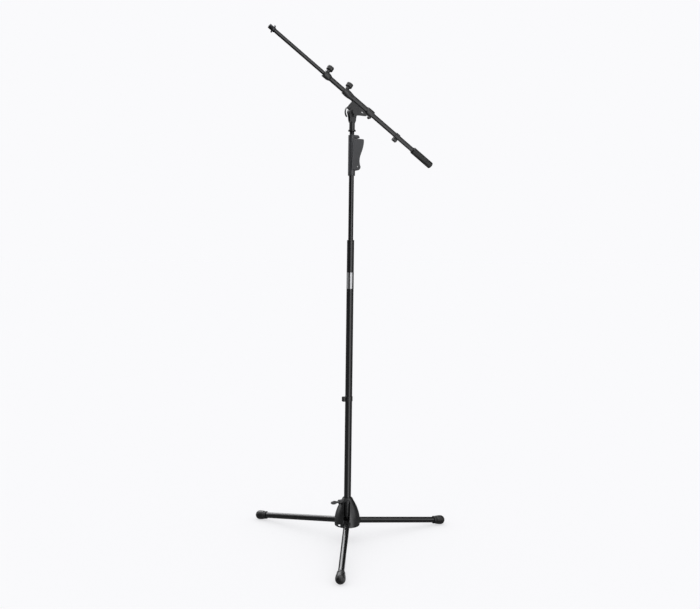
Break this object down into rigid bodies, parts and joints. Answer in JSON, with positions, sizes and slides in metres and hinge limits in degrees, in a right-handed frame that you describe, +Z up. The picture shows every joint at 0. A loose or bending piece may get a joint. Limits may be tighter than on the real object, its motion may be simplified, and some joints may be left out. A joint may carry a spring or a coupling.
{
  "type": "boom microphone stand",
  "caption": "Black boom microphone stand: folding tripod base, two-section pole with a one-hand trigger grip, tilting telescopic boom with a threaded tip",
  "frame": {"origin": "on the floor, under the axis of the pole", "axes": "+Z up along the pole; microphone end of the boom toward -X, boom tail, trigger and the first leg toward +X; XZ is the symmetry plane of pole and boom"},
  "size_m": [0.7032, 0.6972, 1.7104],
  "materials": {
    "black_painted_steel": "satin black powder coat on drawn steel tube",
    "black_nylon": "moulded black glass-filled nylon, fine spark texture",
    "grip_plastic": "moulded grip and trigger, soft satin black",
    "foot_rubber": "moulded black rubber",
    "black_thread": "blackened steel thread",
    "plain_steel": "zinc plated steel",
    "label_film": "printed polyester film, left blank"
  },
  "bodies": {
    "hub": {"hub_housing": "black_nylon", "hub_sleeve": "black_nylon", "clamp_pad": "black_nylon", "leg_pins": "plain_steel"},
    "hub_screw": {"thumb_screw": "black_nylon"},
    "lower_pole": {"lower_tube": "black_painted_steel", "pole_end_plug": "black_nylon", "tube_bush": "black_nylon", "pole_clip": "black_nylon", "pole_label": "label_film"},
    "upper_pole": {"upper_tube": "black_painted_steel", "brake_collet": "black_nylon", "release_spring": "plain_steel", "grip_housing": "grip_plastic", "trigger_pin": "plain_steel", "swivel_stud": "plain_steel"},
    "trigger_lever": {"trigger": "grip_plastic"},
    "release_linkage": {"release_rod": "plain_steel"},
    "lock_collar": {"lock_ring": "black_nylon"},
    "swivel_fork": {"yoke": "black_nylon", "pivot_bolt": "plain_steel", "friction_washers": "plain_steel"},
    "pivot_lever": {"tension_lever": "black_nylon"},
    "boom_clamp": {"boom_bracket": "black_nylon"},
    "clamp_knob": {"bracket_knob": "black_nylon"},
    "boom_outer": {"boom_outer_tube": "black_painted_steel", "clutch_body": "black_nylon", "tail_grip": "foot_rubber", "boom_clip": "black_nylon"},
    "extension_knob": {"clutch_knob": "black_nylon"},
    "boom_inner": {"boom_inner_tube": "black_painted_steel", "inner_guide": "black_nylon", "mic_adapter": "black_thread"},
    "thread_nut": {"wing_nut": "black_thread"},
    "leg_1": {"leg_end_1": "black_nylon", "leg_tube_1": "black_painted_steel", "leg_foot_1": "foot_rubber"},
    "leg_2": {"leg_end_2": "black_nylon", "leg_tube_2": "black_painted_steel", "leg_foot_2": "foot_rubber"},
    "leg_3": {"leg_end_3": "black_nylon", "leg_tube_3": "black_painted_steel", "leg_foot_3": "foot_rubber"}
  },
  "joints": [
    {"name": "hub_clamp_screw", "type": "hinge", "parent": "hub", "child": "hub_screw", "pos_m": [0, 0, 0.13689], "axis": [1, 0, 0], "continuous": true},
    {"name": "leg_fold_1", "type": "hinge", "parent": "hub", "child": "leg_1", "pos_m": [0.029, 0, 0.06589], "axis": [0, -1, 0], "range_deg": [0, 97]},
    {"name": "leg_fold_2", "type": "hinge", "parent": "hub", "child": "leg_2", "pos_m": [-0.0145, 0.02511, 0.06589], "axis": [0.866, 0.5, 0], "range_deg": [0, 97]},
    {"name": "leg_fold_3", "type": "hinge", "parent": "hub", "child": "leg_3", "pos_m": [-0.0145, -0.02511, 0.06589], "axis": [-0.866, 0.5, 0], "range_deg": [0, 97]},
    {"name": "pole_drop", "type": "slide", "parent": "hub", "child": "lower_pole", "axis": [0, 0, -1], "range_m": [0, 0.0255]},
    {"name": "height", "type": "slide", "parent": "lower_pole", "child": "upper_pole", "axis": [0, 0, 1], "range_m": [-0.21, 0.35]},
    {"name": "trigger_squeeze", "type": "hinge", "parent": "upper_pole", "child": "trigger_lever", "pos_m": [0.0155, 0, 1.279], "axis": [0, -1, 0], "range_deg": [0, 6], "stiffness_Nm_per_rad": 3, "springref_deg": -8.59},
    {"name": "release_rod_push", "type": "slide", "parent": "upper_pole", "child": "release_linkage", "axis": [0, 0, -1], "range_m": [0, 0.0021], "deforming": ["release_spring"]},
    {"name": "lock_ring_turn", "type": "hinge", "parent": "upper_pole", "child": "lock_collar", "pos_m": [0, 0, 1.3985], "axis": [0, 0, 1], "continuous": true},
    {"name": "boom_pan", "type": "hinge", "parent": "upper_pole", "child": "swivel_fork", "pos_m": [0, 0, 1.41], "axis": [0, 0, 1], "range_deg": [-170, 170]},
    {"name": "boom_tilt", "type": "hinge", "parent": "swivel_fork", "child": "boom_clamp", "pos_m": [0, 0, 1.459], "axis": [0, 1, 0], "range_deg": [-85, 36]},
    {"name": "tension_lever_turn", "type": "hinge", "parent": "swivel_fork", "child": "pivot_lever", "pos_m": [0, -0.014, 1.459], "axis": [0, 1, 0], "range_deg": [-40, 60]},
    {"name": "bracket_knob_turn", "type": "hinge", "parent": "boom_clamp", "child": "clamp_knob", "pos_m": [-0.0264, 0, 1.52432], "axis": [0.5505, 0, 0.8348], "continuous": true},
    {"name": "boom_reach", "type": "slide", "parent": "boom_clamp", "child": "boom_outer", "axis": [-0.8348, 0, 0.5505], "range_m": [-0.05, 0.08]},
    {"name": "clutch_knob_turn", "type": "hinge", "parent": "boom_outer", "child": "extension_knob", "pos_m": [-0.0982, 0, 1.57166], "axis": [0.5505, 0, 0.8348], "continuous": true},
    {"name": "boom_extension", "type": "slide", "parent": "boom_outer", "child": "boom_inner", "axis": [-0.8348, 0, 0.5505], "range_m": [-0.195, 0.1]},
    {"name": "wing_nut_turn", "type": "hinge", "parent": "boom_inner", "child": "thread_nut", "pos_m": [-0.28579, 0, 1.69536], "axis": [-0.8348, 0, 0.5505], "continuous": true}
  ],
  "couplings": [
    {"joint": "leg_fold_2", "follows": "leg_fold_1", "ratio": 1},
    {"joint": "leg_fold_3", "follows": "leg_fold_1", "ratio": 1},
    {"joint": "pole_drop", "follows": "leg_fold_1", "m_per_rad": 0.015},
    {"joint": "release_rod_push", "follows": "trigger_squeeze", "m_per_rad": 0.0195}
  ]
}
